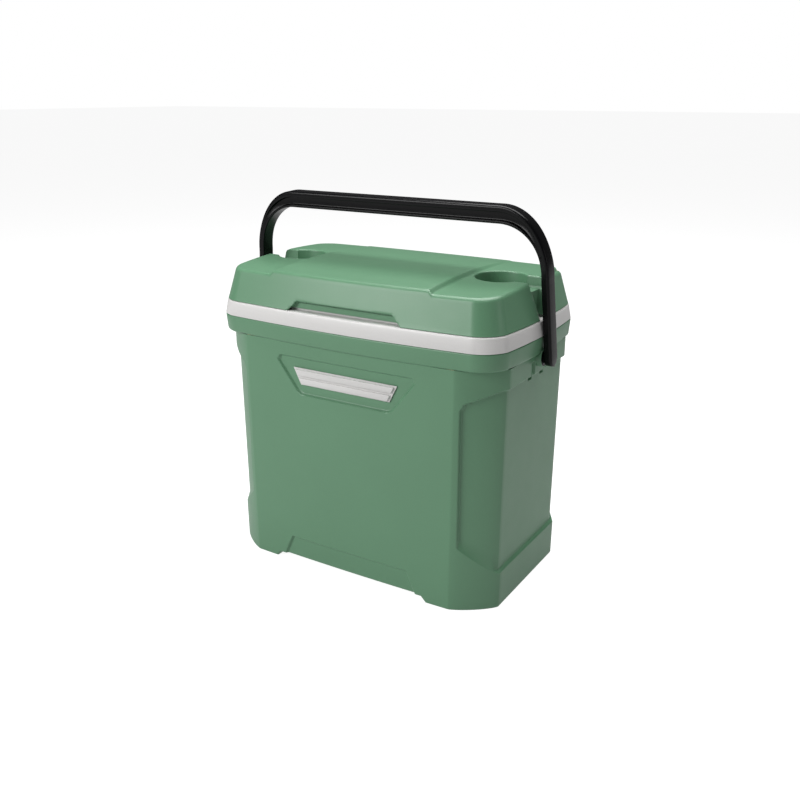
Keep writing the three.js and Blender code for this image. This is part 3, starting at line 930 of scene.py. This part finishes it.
@dataclass
class InnerLiner:
    """The white liner: tub, flange and the band that shows between the rim and the lid."""

    places: Places
    wall: float = 3.0
    tub: Outline = Outline(199, 109, 2, 3, 34, 34, 2)
    floor: float = 47.0
    lean: float = 3.2

    def build(self) -> bpy.types.Object:
        """Returns the piece, a closed surface carried round the chest."""
        high = self.places.band_top
        low = self.places.rim_top + 0.3
        columns = PlanColumns.even(20, 22, 16)
        inner = [(8, self.floor), (6.6, self.floor + 0.7), (5.5, self.floor + 2.3), (5, self.floor + 5)]
        inner += [(0.1, high - 2.2), (0, high - 1.6), (-0.5, high - 0.5), (-1.6, high)]
        lean, wall = self.lean, self.wall
        band = [
            (lean + 1.8, high), (lean + 0.8, high - 0.35), (lean + 0.15, high - 1.4),
            (lean - 0.2, high - 3), (0.1, low + 0.4), (0.3, low), (wall, low),
            (wall + lean, high - wall),
        ]
        outer = [(-wall, high - wall), (5 - wall, self.floor + 2), (8 - wall, self.floor - wall)]
        rim = rim_outline(self.places)
        rows = np.concatenate([
            columns.rings(self.tub, inner),
            columns.rings(rim, band),
            columns.rings(self.tub, outer),
        ])
        shape = Shape()
        shape.add_tube(rows)
        return shape.piece("chest_inner_liner", crease=40)


# ---------------------------------------------------------------------------------------
# Lid
# ---------------------------------------------------------------------------------------


@dataclass
class Lid:
    """The green lid: leaning sides, an arched centre, lower ends with can holders."""

    places: Places
    wall: float = 3.0
    foot_inset: float = 4.2
    lean: float = 12.0
    edge_top: float = 430.0
    edge_round: float = 7.0
    crown_drop: float = 5.8
    cup_x: float = 163.5
    cup_radius: float = 35.0
    cup_floor: float = 399.0
    lip: float = 2.2
    notch_half: float = 22.0
    notch_foot: float = 9.0
    notch_floor: float = 419.0
    notch_inner: float = 209.0
    grip_y: float = -127.0

    def top_height(self, x: np.ndarray, y: np.ndarray) -> np.ndarray:
        """Height of the lid's top.

        The centre is an arch, crown - drop (y / 116)^2. The ends are flatter,
        434.5 + 0.0178 y - 0.000294 y^2, and an S curve joins them from |x| 120 to 127.

        Args:
            x: Places along X.
            y: Places along Y.

        Returns:
            Heights in millimetres.
        """
        centre = self.places.crown - self.crown_drop * (y / 116) ** 2
        end = 434.5 + 0.0178 * y - 0.000294 * y * y
        return centre + (end - centre) * smooth((np.abs(x) - 120) / 7)

    def inset(self, z: np.ndarray) -> np.ndarray:
        """Returns how far the side stands in from the rim's plan at a height."""
        rise = (z - self.places.lid_bottom) / (self.edge_top - self.places.lid_bottom)
        return self.foot_inset + self.lean * rise

    def build(self) -> bpy.types.Object:
        """Returns the carved lid."""
        body = self._body().piece("lid_outer_shell", crease=50)
        cutters = []
        for side, word in ((-1, "left"), (1, "right")):
            cutters.append(self._cup(side).piece(f"{word}_cup_cutter"))
            cutters.append(self._channel(side).piece(f"{word}_channel_cutter"))
            cutters.append(self._slot(side).piece(f"{word}_slot_cutter"))
        cutters.append(self._grip().piece("grip_cutter"))
        carve(body, cutters, crease=32)
        return body

    def _body(self) -> Shape:
        """Builds the uncut lid: sides and rounded edge as rings, and the top as lines along Y."""
        front = knots([0, 118, 129, 173.0], [24, 14, 10])[:-1] / 173.0
        turns = np.linspace(0, math.pi / 2, 24, endpoint=False)
        columns = PlanColumns(front, turns, np.linspace(1, 0, 17))
        outline = rim_outline(self.places)
        low = self.places.lid_bottom
        # The edge of the top first, without its rounding, to know how high each column goes.
        rim = columns.rings(outline, [(self.inset(433.0) + self.edge_round * 0.75, 433.0)])[0]
        peak = self.top_height(rim[:, 0], rim[:, 1])
        count = len(rim)
        quarter = (count // 4) + 1
        inner = self.foot_inset + self.wall
        bottom = [
            (inner, low + self.wall + 0.2), (inner, low + 0.5), (inner - 0.5, low),
            (self.foot_inset + 0.7, low), (self.foot_inset, low + 0.8),
        ]
        rings = [columns.rings(outline, bottom)]
        share = np.linspace(0, 1, 14)[1:, None]
        tilt = math.atan2(self.lean, self.edge_top - low)
        side_top = peak[None, :quarter] - self.edge_round * (1 - math.sin(tilt))
        z = low + 0.8 + (side_top - low - 0.8) * share
        rings.append(self._ring(columns, outline, self.inset(z), z))
        turn = np.linspace(tilt, math.pi / 2, 8)[1:, None]
        r = self.edge_round
        inset = self.inset(side_top) + r * (math.cos(tilt) - np.cos(turn))
        z = side_top + r * (np.sin(turn) - math.sin(tilt))
        z[-1] = np.nan
        edge = self._ring(columns, outline, inset, z)
        flat = edge[-1]
        flat[:, 2] = self.top_height(flat[:, 0], flat[:, 1])
        rings.append(edge)
        rows = np.concatenate(rings)
        shape = Shape()
        start = shape.add_grid(rows)
        shape.add_flat(list(range(start, start + count)))
        self._add_top(shape, flat)
        return shape

    @staticmethod
    def _ring(columns: PlanColumns, outline: Outline, inset: np.ndarray,
              z: np.ndarray) -> np.ndarray:
        """Returns rings whose inset and height differ from column to column.

        The back takes the front's heights, which are a few millimetres low at the lid's ends.

        Args:
            columns: Where the columns stand.
            outline: The plan.
            inset: How far each point stands in from the plan.
            z: The height of each point.

        Returns:
            Points as (rows, ring columns, 3).
        """
        x, y = outline.quarter(columns.front, columns.turn, columns.side, inset)
        front = np.stack([x, y, z], axis=-1)
        return whole_ring(front, front)

    def _add_top(self, shape: Shape, ring: np.ndarray) -> None:
        """Covers the top with lines from the front edge to the back edge, at equal X.

        Args:
            shape: The shape that the top joins.
            ring: The edge's points, all the way round.
        """
        quarter = len(ring) // 4
        right = np.arange(0, quarter + 1)
        left = np.arange(3 * quarter, 4 * quarter)
        front = ring[np.concatenate([left, right])]
        share = np.linspace(0, 1, 84)[:, None]
        x = np.broadcast_to(front[:, 0], (84, len(front))).copy()
        y = front[:, 1] * (1 - 2 * share)
        z = self.top_height(x, y)
        grid = np.stack([x, y, z], axis=-1)
        grid[0] = front
        back = ring[(2 * quarter - np.concatenate([left - 4 * quarter, right])) % (4 * quarter)]
        grid[-1] = back
        shape.add_grid(grid, closed=False)

    def _cup(self, side: int) -> Shape:
        """Cutter for a can holder: a turned profile whose mouth flares into a rounded lip.

        Args:
            side: -1 for the left end, 1 for the right.

        Returns:
            The closed cutter.
        """
        turn = np.linspace(0, 2 * math.pi, 96, endpoint=False)
        floor = arc(4.0, -90, 0, 6) + (self.cup_radius - 4.0, 4.0)
        lip = self.lip * (1 - np.cos(np.radians(np.linspace(0, 90, 8))))
        rise = self.lip * (np.sin(np.radians(np.linspace(0, 90, 8))) - 1)
        mouth = self.cup_radius + self.lip
        radius = np.concatenate([[0.0, 29.0], floor[:, 0], self.cup_radius + lip, [mouth, 0.0]])
        x = side * self.cup_x + radius[:, None] * np.cos(turn)
        y = radius[:, None] * np.sin(turn)
        top = self.top_height(x, y)
        count = 2 + len(floor)
        z = np.empty_like(x)
        z[:count] = self.cup_floor + np.concatenate([[0, 0], floor[:, 1]])[:, None]
        z[count:-2] = top[count:-2] + rise[:, None] + 0.03
        z[-2:] = 460
        shape = Shape()
        shape.add_grid(np.stack([x, y, z], axis=-1))
        return shape

    def _channel(self, side: int) -> Shape:
        """Cutter for the upper notch: a trough along X with a rounded floor and a flared lip.

        Args:
            side: -1 for the left end, 1 for the right.

        Returns:
            The closed cutter.
        """
        x = np.linspace(self.cup_x + 14, 250, 40)[:, None] * side
        floor = arc(3.0, -90, 0, 5) + (self.notch_half - 3.0, 3.0)
        bend = np.radians(np.linspace(0, 90, 8))
        lip = self.notch_half + self.lip * (1 - np.cos(bend))
        across = np.concatenate([[0.0], floor[:, 0], lip, [self.notch_half + self.lip]])
        top = self.top_height(x, across[None, :])
        z = np.empty_like(top)
        count = 1 + len(floor)
        z[:, :count] = self.notch_floor + np.concatenate([[0], floor[:, 1]])
        z[:, count:-1] = top[:, count:-1] + self.lip * (np.sin(bend) - 1) + 0.03
        z[:, -1] = 460
        half = np.stack([np.broadcast_to(x, z.shape), np.broadcast_to(across, z.shape), z], axis=-1)
        loop = np.concatenate([half, half[:, :0:-1] * (1, -1, 1)], axis=1)
        return self._tube(loop)

    def _slot(self, side: int) -> Shape:
        """Cutter for the lower notch: a tapering slot, cut in to a flat back, with soft edges.

        Args:
            side: -1 for the left end, 1 for the right.

        Returns:
            The closed cutter.
        """
        z = np.linspace(376, 423, 30)[:, None]
        half = self.notch_foot + (self.notch_half - self.notch_foot) * (z - 379.3) / (436 - 379.3)
        outside = self.places.rim[0] - self.inset(z)
        bend = np.radians(np.linspace(0, 90, 6))
        lip_x = outside - 1.5 + 1.5 * np.sin(bend)[::-1] + 0.03
        lip_y = half + 1.5 * (1 - np.cos(bend))[::-1]
        nook = arc(2.0, 180, 90, 5)
        nook_x = self.notch_inner + 2.0 + nook[::-1, 0] + 0 * z
        nook_y = half - 2.0 + nook[::-1, 1]
        x = np.concatenate([250 + 0 * z, lip_x, nook_x], axis=1)
        y = np.concatenate([half + 1.5, lip_y, nook_y], axis=1)
        right = np.stack([side * x, y, np.broadcast_to(z, x.shape)], axis=-1)
        loop = np.concatenate([right, right[:, ::-1] * (1, -1, 1)], axis=1)
        return self._tube(loop)

    def _grip(self) -> Shape:
        """Cutter for the finger recess under the front edge: a soft-edged trapezoid."""
        right = [(96, 379), (79.5, 393.4), (77.5, 396.4), (74, 398)]
        left = [(-x, z) for x, z in right[::-1]]
        corners = np.array([left[-1], *right, *left[:-1]], float)
        nexts = np.roll(corners, -1, axis=0)
        share = np.linspace(0, 1, 30, endpoint=False)[None, :, None]
        loop = (corners[:, None] + (nexts - corners)[:, None] * share).reshape(-1, 2)
        step = np.roll(loop, -1, axis=0) - np.roll(loop, 1, axis=0)
        normal = np.stack([step[:, 1], -step[:, 0]], axis=-1) / np.hypot(*step.T)[:, None]
        outline = rim_outline(self.places)

        def level(grow: float, depth: float) -> np.ndarray:
            """Returns the loop grown by so much, so deep behind the lid's face.

            Args:
                grow: How far the loop stands out from its own line.
                depth: How far it lies behind the lid's face.

            Returns:
                Points as (loop, 3).
            """
            x, z = (loop + grow * normal).T
            face = outline.half_y - outline.bow_y * (x / 186) ** 2 - self.inset(z)
            return np.stack([x, -(face - depth), z], axis=-1)

        bend = np.radians(np.linspace(0, 90, 7))
        rows = [level(1.5, -9.0)]
        rows += [level(1.5 * (1 - math.sin(t)), 1.5 * (1 - math.cos(t)) - 0.03) for t in bend]
        back = level(-0.6, 0.0)
        rows += [np.stack([back[:, 0], np.full(len(loop), self.grip_y - 1.2), back[:, 2]], axis=-1)]
        deep = level(-1.8, 0.0)
        rows += [np.stack([deep[:, 0], np.full(len(loop), self.grip_y), deep[:, 2]], axis=-1)]
        rows[0][:, 1] = -160
        return self._tube(np.stack(rows))

    @staticmethod
    def _tube(rows: np.ndarray) -> Shape:
        """Returns a closed tube through loops, with flat ends.

        Args:
            rows: Loops as (loops, points, 3).

        Returns:
            The closed tube.
        """
        shape = Shape()
        shape.add_tube(rows)
        return shape


# ---------------------------------------------------------------------------------------
# Handle
# ---------------------------------------------------------------------------------------


@dataclass
class Handle:
    """The black handle: flat arms that bend into a grip with a channel in both broad sides."""

    places: Places
    lean: float = 2.5
    grip_radius: float = 182.85
    grip_height: float = 23.0
    width: float = 22.5
    arm: float = 10.5
    arm_top: float = 103.0
    bend_x: float = 164.5
    bend_width: float = 66.5
    splay: float = 8.0
    web: float = 8.5
    top_flange: float = 8.0
    low_flange: float = 3.6

    def build(self) -> bpy.types.Object:
        """Returns the handle, swept along its centre line and leaned to the front."""
        x, z, thick, width = self._spine()
        dx, dz = np.gradient(x), np.gradient(z)
        length = np.hypot(dx, dz)
        out_x, out_z = -dz / length, dx / length
        p, q = self._section(thick, width)
        grid = np.stack([x[:, None] + out_x[:, None] * p, q, z[:, None] + out_z[:, None] * p], axis=-1)
        shape = Shape()
        shape.add_tube(grid)
        for side in (-1, 1):
            profile = [(210, 0), (210, 7.6), (210.4, 8), (236, 8), (236, 0)]
            peg = lathe_x([(side * x_peg, radius) for x_peg, radius in profile], 0, 0)
            shape.add_shape(peg)
        turn = math.radians(self.lean)
        points = np.concatenate(shape.points)
        y, height = points[:, 1].copy(), points[:, 2].copy()
        points[:, 1] = y * math.cos(turn) - height * math.sin(turn)
        points[:, 2] = y * math.sin(turn) + height * math.cos(turn) + self.places.pivot_z
        shape.points = [points]
        return shape.piece("carrying_handle", crease=38)

    def _spine(self) -> tuple[np.ndarray, np.ndarray, np.ndarray, np.ndarray]:
        """Works out the centre line from the left arm's end to the right one's.

        The arm is straight and splays outwards as it goes down, the bend is a quarter
        ellipse and the grip is straight. The thickness grows through the bend as an S curve.
        The arm's end is half round, so its width there is w sqrt(1 - s^2).

        Returns:
            x, height above the pivot, thickness in the handle's plane, and width.
        """
        end = self.width / 2
        share = np.concatenate([-np.cos(np.linspace(0.06, math.pi / 2, 14))[:-1], [0.0]])
        z_arm = np.concatenate([share * end, np.linspace(0, self.arm_top, 16)[1:-1]])
        x_arm = self.bend_x + self.bend_width + self.splay * np.minimum(1 - z_arm / self.arm_top, 1)
        width_arm = self.width * np.sqrt(np.clip(1 - np.minimum(z_arm / end, 0) ** 2, 0, 1))
        bend = np.linspace(0, math.pi / 2, 56)
        growth = np.maximum(np.linspace(0, 1, 56) - 0.2, 0) / 0.8
        x_bend = self.bend_x + self.bend_width * np.cos(bend)
        z_bend = self.arm_top + (self.grip_radius - self.arm_top) * np.sin(bend)
        thick_bend = self.arm + (self.grip_height - self.arm) * smooth(growth)
        x_grip = np.linspace(self.bend_x, 0, 24)[1:]
        x = np.concatenate([x_arm, x_bend, x_grip])
        z = np.concatenate([z_arm, z_bend, np.full(len(x_grip), self.grip_radius)])
        thick_arm = np.full(len(x_arm), self.arm)
        thick_grip = np.full(len(x_grip), self.grip_height)
        thick = np.concatenate([thick_arm, thick_bend, thick_grip])
        width = np.concatenate([width_arm, np.full(len(x) - len(x_arm), self.width)])

        def mirror(values: np.ndarray, sign: int) -> np.ndarray:
            """Returns the half's values, times the sign, and then those of the other half.

            Args:
                values: The values from the left arm's end to the middle.
                sign: -1 for a value that changes sign across the middle, or 1.
            """
            return np.concatenate([sign * values, values[-2::-1]])

        return mirror(x, -1), mirror(z, 1), mirror(thick, 1), mirror(width, 1)

    def _section(self, thick: np.ndarray, width: np.ndarray) -> tuple[np.ndarray, np.ndarray]:
        """Works out the section of each row from arcs, with straight runs between them.

        Args:
            thick: Thickness of each row; p runs across it, outwards.
            width: Width of each row; q runs across it.

        Returns:
            p and q, each (rows, section points).
        """
        t, w = thick[:, None] / 2, width[:, None] / 2
        share = (thick[:, None] - self.arm) / (self.grip_height - self.arm)
        depth = (self.width - self.web) / 2 * smooth(share * 1.15)
        top = t - (self.top_flange * share + self.arm * 0.45 * (1 - share))
        low = -t + (self.low_flange * share + self.arm * 0.3 * (1 - share))
        edge = np.minimum(3.2, np.minimum(0.8 * t, 0.9 * w))
        foot = np.minimum(1.8, 0.9 * w)
        small = np.minimum(0.9, depth * 0.45)
        nook = np.minimum(1.6, depth * 0.45)

        def bend(mid_p: np.ndarray, mid_q: np.ndarray, radius: np.ndarray, start: float,
                 end: float, steps: int = 5) -> tuple[np.ndarray, np.ndarray]:
            """Returns an arc's p and q for every row.

            Args:
                mid_p: The arc's centre across the thickness, per row.
                mid_q: Its centre across the width, per row.
                radius: Its radius, per row.
                start: The angle where it starts, in degrees.
                end: The angle where it ends.
                steps: How many steps it takes.
            """
            turn = np.radians(np.linspace(start, end, steps + 1))
            return mid_p + radius * np.sin(turn), mid_q + radius * np.cos(turn)

        arcs = [
            bend(t - edge, w - edge, edge, 90, 0, 7),
            bend(top + small, w - small, small, 0, -90),
            bend(top - nook, w - depth + nook, nook, 90, 180),
            bend(low + nook, w - depth + nook, nook, 180, 270),
            bend(low - small, w - small, small, 90, 0),
            bend(-t + foot, w - foot, foot, 0, -90),
        ]
        p = np.concatenate([a[0] for a in arcs], axis=1)
        q = np.concatenate([a[1] for a in arcs], axis=1)
        return np.concatenate([p, p[:, ::-1]], axis=1), np.concatenate([q, -q[:, ::-1]], axis=1)


# ---------------------------------------------------------------------------------------
# Small pieces
# ---------------------------------------------------------------------------------------


@dataclass
class SoftEdged:
    """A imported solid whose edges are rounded: its triangles are merged and then bevelled."""

    node: str
    radius: float
    segments: int = 2
    angle: float = 30.0

    def build(self, node: bpy.types.Object) -> bpy.types.Object:
        """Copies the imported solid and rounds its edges.

        Args:
            node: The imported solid's object.

        Returns:
            The new piece.
        """
        mesh = node.data.copy()
        work = bmesh.new()
        work.from_mesh(mesh)
        bmesh.ops.remove_doubles(work, verts=work.verts, dist=0.004 * MM)
        flat = math.radians(0.6)
        bmesh.ops.dissolve_limit(work, angle_limit=flat, verts=work.verts, edges=work.edges)
        bmesh.ops.recalc_face_normals(work, faces=work.faces)
        work.to_mesh(mesh)
        work.free()
        mesh.materials.clear()
        mesh.shade_smooth()
        mesh.set_sharp_from_angle(angle=math.radians(self.angle + 8))
        piece = bpy.data.objects.new(f"{self.node}_soft", mesh)
        bpy.context.scene.collection.objects.link(piece)
        bevel = piece.modifiers.new("soft_edges", "BEVEL")
        bevel.width = self.radius * MM
        bevel.segments = self.segments
        bevel.limit_method = "ANGLE"
        bevel.angle_limit = math.radians(self.angle)
        bevel.harden_normals = False
        return piece


# ---------------------------------------------------------------------------------------
# Studio
# ---------------------------------------------------------------------------------------


@dataclass
class Studio:
    """A plain pale floor, soft light from the front left and the camera."""

    target: tuple[float, float, float] = (-0.0327, 0.0638, 0.208)
    azimuth: float = 31.62
    elevation: float = 18.96
    distance: float = 1.408
    lens: float = 40.55

    def build(self) -> None:
        """Makes the floor, the lights, the world and the camera."""
        self._floor()
        self._world()
        self._softbox("key", (-1.0, -2.0, 1.3), (1.4, 1.4), 42)
        self._softbox("top", (0.0, 0.4, 2.4), (2.0, 2.0), 76)
        self._softbox("strip", (1.88, 0.26, 0.65), (0.25, 0.9), 1.6)
        self._camera()

    def _floor(self) -> None:
        """Lays a wide pale floor under the chest."""
        mesh = bpy.data.meshes.new("studio_floor")
        size = 30.0
        corners = [(-size, -size, 0), (size, -size, 0), (size, size, 0), (-size, size, 0)]
        mesh.from_pydata(corners, [], [(0, 1, 2, 3)])
        floor = bpy.data.objects.new("studio_floor", mesh)
        bpy.context.scene.collection.objects.link(floor)
        material = bpy.data.materials.new("studio_paper")
        material.use_nodes = True
        nodes, links = material.node_tree.nodes, material.node_tree.links
        shader = nodes["Principled BSDF"]
        shader.inputs["Base Color"].default_value = (0.3, 0.3, 0.3, 1)
        shader.inputs["Roughness"].default_value = 0.9
        shader.inputs["Emission Color"].default_value = (1, 1, 1, 1)
        links.new(self._seen_or_not(nodes, links, 0.36, 0.92), shader.inputs["Emission Strength"])
        mesh.materials.append(material)

    @staticmethod
    def _seen_or_not(nodes: bpy.types.Nodes, links: bpy.types.NodeLinks, lit: float,
                     seen: float) -> bpy.types.NodeSocket:
        """Returns a strength with one value for the camera and another for the light.

        Args:
            nodes: The nodes to add to.
            links: Their links.
            lit: The strength that lights the pieces.
            seen: The strength that the camera sees.
        """
        strength = nodes.new("ShaderNodeMapRange")
        strength.inputs["To Min"].default_value = lit
        strength.inputs["To Max"].default_value = seen
        path = nodes.new("ShaderNodeLightPath")
        links.new(path.outputs["Is Camera Ray"], strength.inputs["Value"])
        return strength.outputs["Result"]

    @staticmethod
    def _world() -> None:
        """Sets an even white surround."""
        world = bpy.data.worlds.new("studio")
        world.use_nodes = True
        nodes, links = world.node_tree.nodes, world.node_tree.links
        background = nodes["Background"]
        background.inputs["Color"].default_value = (1, 1, 1, 1)
        links.new(Studio._seen_or_not(nodes, links, 0.06, 1.0), background.inputs["Strength"])
        bpy.context.scene.world = world
        bpy.context.scene.view_settings.view_transform = "Standard"

    def _softbox(self, name: str, place: tuple[float, float, float], size: tuple[float, float],
                 power: float) -> None:
        """Hangs a rectangular area light that faces the chest.

        Args:
            name: The light's name.
            place: Where it hangs.
            size: Its width and height.
            power: Its power in watts.
        """
        light = bpy.data.lights.new(name, "AREA")
        light.shape = "RECTANGLE"
        light.size, light.size_y = size
        light.energy = power
        lamp = bpy.data.objects.new(name, light)
        lamp.location = place
        away = np.array(place) - np.array((0.0, 0.0, 0.25))
        lamp.rotation_euler = self._facing(away)
        bpy.context.scene.collection.objects.link(lamp)

    @staticmethod
    def _facing(away: np.ndarray) -> tuple[float, float, float]:
        """Returns the rotation that looks against the given direction, upright."""
        flat = math.hypot(away[0], away[1])
        return (math.atan2(flat, away[2]), 0.0, math.atan2(away[1], away[0]) + math.pi / 2)

    def _camera(self) -> None:
        """Sets the camera at its bearing and distance from the target."""
        a, e = math.radians(self.azimuth), math.radians(self.elevation)
        back = np.array((math.sin(a) * math.cos(e), -math.cos(a) * math.cos(e), math.sin(e)))
        data = bpy.data.cameras.new("camera")
        data.lens = self.lens
        data.sensor_width = 36
        camera = bpy.data.objects.new("camera", data)
        camera.location = np.array(self.target) + self.distance * back
        camera.rotation_euler = self._facing(back)
        bpy.context.scene.collection.objects.link(camera)
        bpy.context.scene.camera = camera


def wear(piece: bpy.types.Object, body: str, slot: Slot, nodes: list[str], wardrobe: Wardrobe) -> None:
    """Gives a piece its body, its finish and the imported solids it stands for.

    Args:
        piece: The piece.
        body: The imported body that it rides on.
        slot: Its material slot.
        nodes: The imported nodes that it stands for.
        wardrobe: The finishes.
    """
    wardrobe.dress(piece, slot)
    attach(piece, body)
    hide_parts(*nodes)
    LOG.info("%s: %d faces, for %s", piece.name, len(piece.data.polygons), ", ".join(nodes))


def main() -> None:
    """Builds the cooler chest and its studio in order."""
    logging.basicConfig(level=logging.INFO, format="%(message)s")
    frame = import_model()
    places = Places.read(frame)
    wardrobe = Wardrobe()
    Studio().build()

    wear(OuterShell(places).build(), "chest", Slot.GREEN, ["outer_shell"], wardrobe)
    wear(InnerLiner(places).build(), "chest", Slot.WHITE, ["inner_liner"], wardrobe)
    wear(Lid(places).build(), "lid", Slot.GREEN, ["lid_shell"], wardrobe)
    wear(Handle(places).build(), "handle", Slot.BLACK, ["handle"], wardrobe)

    packed = frame["record"]["behaviour"]["bodies"]
    bodies = {node: body for body, names in packed.items() for node in names}
    slots = {part["node"]: Slot(part["material_slot"]) for part in frame["record"]["subparts"]}
    soft = {"front_badge": 0.5, "lid_panel": 0.8}
    soft |= {name: 0.4 for name in slots if name.endswith("_leaf") or name.endswith("_socket")}
    done = {"outer_shell", "inner_liner", "lid_shell", "handle"}
    for name, radius in soft.items():
        piece = SoftEdged(name, radius).build(frame["nodes"][name])
        wear(piece, bodies[name], slots[name], [name], wardrobe)
        done.add(name)
    for name in sorted(set(slots) - done):
        wardrobe.dress(frame["nodes"][name], slots[name])
        LOG.info("%s keeps its packed shape", name)


if __name__ == "__main__":
    main()
